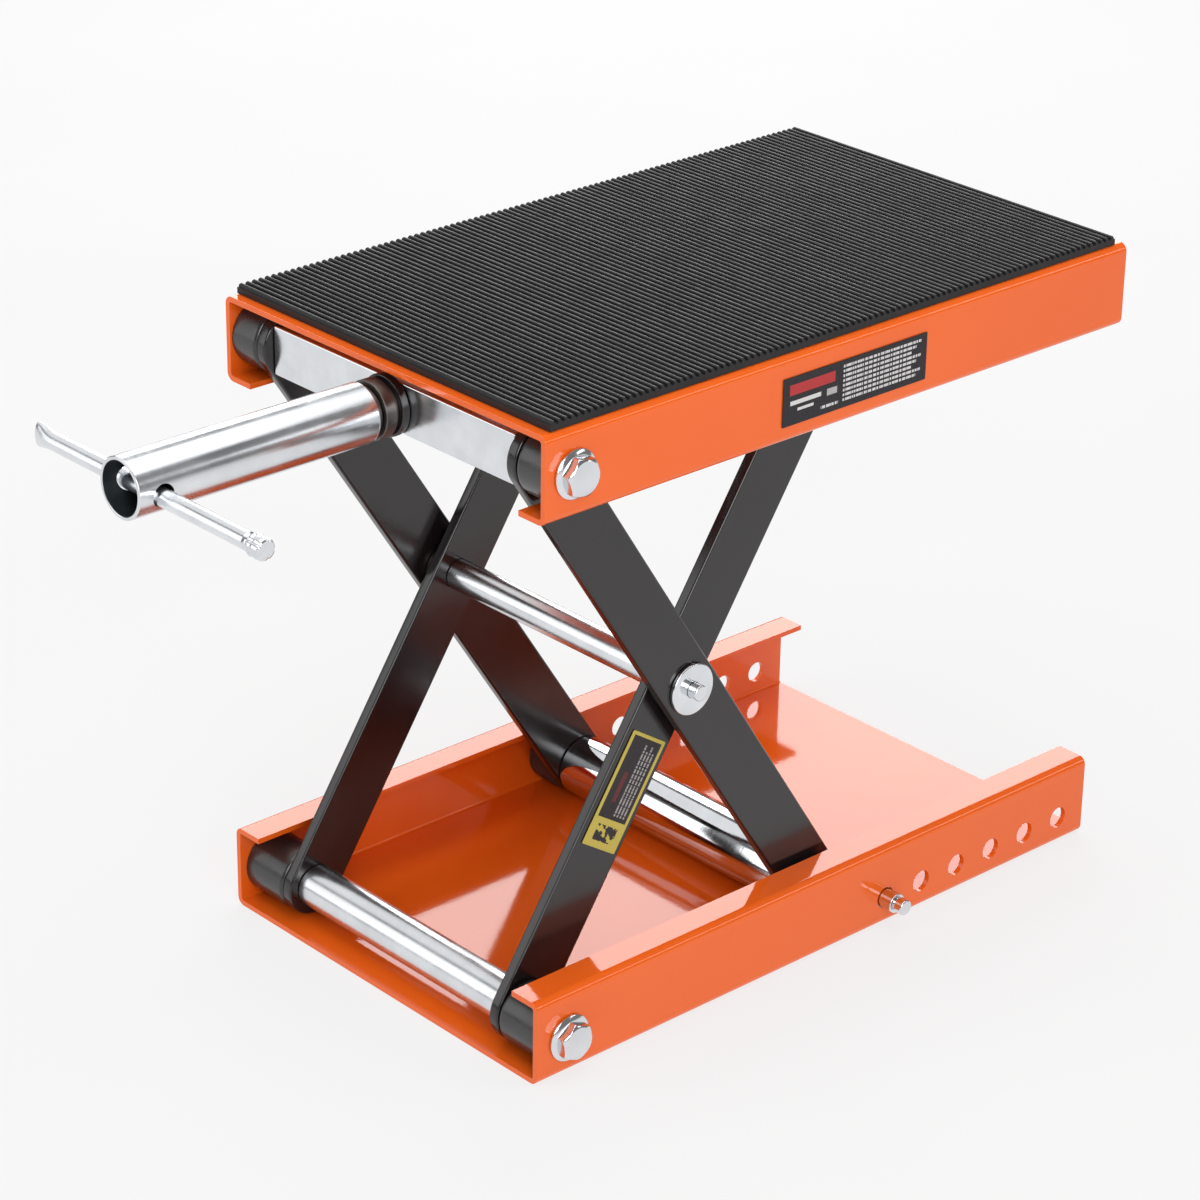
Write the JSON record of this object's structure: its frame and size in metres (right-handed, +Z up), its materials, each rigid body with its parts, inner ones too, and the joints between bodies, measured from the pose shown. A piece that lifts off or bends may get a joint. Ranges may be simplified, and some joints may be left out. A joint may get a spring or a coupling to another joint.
{
  "type": "scissor jack",
  "caption": "Low screw-driven scissor jack with a channel base, crossed arms, a ribbed rubber deck and a crank tube with a sliding tommy bar.",
  "frame": {"origin": "centre of the base channel's underside", "axes": "+Z up, +Y from the crank towards the rear, +X towards the side with the lock pin"},
  "size_m": [0.2631, 0.5505, 0.3489],
  "materials": {
    "orange_powder_coat": "glossy orange powder coat on folded steel sheet",
    "black_powder_coat": "satin black powder coat",
    "bright_zinc": "bright zinc plate on turned steel",
    "dark_steel": "oiled dark steel",
    "black_rubber": "matt black rubber with fine ribs along the crank's cross direction",
    "black_nylon": "black nylon",
    "printed_plate": "printed plastic label with plain bars and no lettering"
  },
  "bodies": {
    "base": {"base_channel": "orange_powder_coat", "base_sleeve_left": "black_powder_coat", "base_sleeve_right": "black_powder_coat", "base_pivot_bolt_left": "bright_zinc", "base_pivot_bolt_right": "bright_zinc"},
    "inner_arms": {"inner_arm_left": "black_powder_coat", "inner_arm_right": "black_powder_coat", "base_pivot_tube": "bright_zinc", "centre_rod": "bright_zinc", "centre_spacer_left": "dark_steel", "centre_spacer_right": "dark_steel", "centre_washer_left": "bright_zinc", "centre_washer_right": "bright_zinc", "arm_plate": "printed_plate"},
    "outer_arms": {"outer_arm_left": "black_powder_coat", "outer_arm_right": "black_powder_coat", "lower_shaft": "bright_zinc", "lower_tube": "bright_zinc", "lower_tube_bush_left": "black_nylon", "lower_tube_bush_right": "black_nylon"},
    "platform": {"platform_channel": "orange_powder_coat", "rubber_mat": "black_rubber", "platform_pivot_bolt_left": "bright_zinc", "platform_pivot_bolt_right": "bright_zinc", "platform_sleeve_left": "black_powder_coat", "platform_sleeve_right": "black_powder_coat", "front_crossbar": "bright_zinc", "thrust_washer_rear": "dark_steel", "deck_plate": "printed_plate"},
    "nut_shaft": {"nut_shaft": "dark_steel", "upper_spacer_left": "dark_steel", "upper_spacer_right": "dark_steel"},
    "crank": {"lead_screw": "bright_zinc", "crank_tube": "bright_zinc", "thrust_bearing": "dark_steel", "thrust_washer_front": "dark_steel", "screw_retaining_collar": "dark_steel", "screw_end_stop": "dark_steel"},
    "tommy_bar": {"tommy_bar": "bright_zinc"},
    "lock_pin": {"lock_pin": "bright_zinc"},
    "lower_roller_left": {"lower_roller_left": "black_nylon"},
    "lower_roller_right": {"lower_roller_right": "black_nylon"},
    "upper_roller_left": {"upper_roller_left": "black_nylon"},
    "upper_roller_right": {"upper_roller_right": "black_nylon"}
  },
  "joints": [
    {"name": "scissor_lift", "type": "hinge", "parent": "base", "child": "inner_arms", "pos_m": [0, -0.1795, 0.0205], "axis": [1, 0, 0], "range_deg": [-46.8, 0]},
    {"name": "arm_crossing", "type": "hinge", "parent": "inner_arms", "child": "outer_arms", "pos_m": [0, -0.08064, 0.1708], "axis": [1, 0, 0], "range_deg": [0, 93.6]},
    {"name": "deck_level", "type": "hinge", "parent": "outer_arms", "child": "platform", "pos_m": [0, -0.1795, 0.3211], "axis": [1, 0, 0], "range_deg": [-46.8, 0]},
    {"name": "nut_shaft_level", "type": "hinge", "parent": "inner_arms", "child": "nut_shaft", "pos_m": [0, 0.01823, 0.3211], "axis": [1, 0, 0], "range_deg": [0, 46.8]},
    {"name": "crank_turn", "type": "hinge", "parent": "platform", "child": "crank", "pos_m": [0, -0.348, 0.3211], "axis": [0, 1, 0], "continuous": true},
    {"name": "tommy_bar_slide", "type": "slide", "parent": "crank", "child": "tommy_bar", "axis": [1, 0, 0], "range_m": [-0.062, 0.054]},
    {"name": "lock_pin_slide", "type": "slide", "parent": "base", "child": "lock_pin", "axis": [-1, 0, 0], "range_m": [0, 0.015]},
    {"name": "lower_roller_left_turn", "type": "hinge", "parent": "outer_arms", "child": "lower_roller_left", "pos_m": [0, 0.01823, 0.0205], "axis": [1, 0, 0], "continuous": true},
    {"name": "lower_roller_right_turn", "type": "hinge", "parent": "outer_arms", "child": "lower_roller_right", "pos_m": [0, 0.01823, 0.0205], "axis": [1, 0, 0], "continuous": true},
    {"name": "upper_roller_left_turn", "type": "hinge", "parent": "nut_shaft", "child": "upper_roller_left", "pos_m": [0, 0.01823, 0.3211], "axis": [1, 0, 0], "continuous": true},
    {"name": "upper_roller_right_turn", "type": "hinge", "parent": "nut_shaft", "child": "upper_roller_right", "pos_m": [0, 0.01823, 0.3211], "axis": [1, 0, 0], "continuous": true}
  ],
  "couplings": [
    {"joint": "arm_crossing", "follows": "scissor_lift", "ratio": -2},
    {"joint": "deck_level", "follows": "scissor_lift", "ratio": 1},
    {"joint": "nut_shaft_level", "follows": "scissor_lift", "ratio": -1}
  ]
}
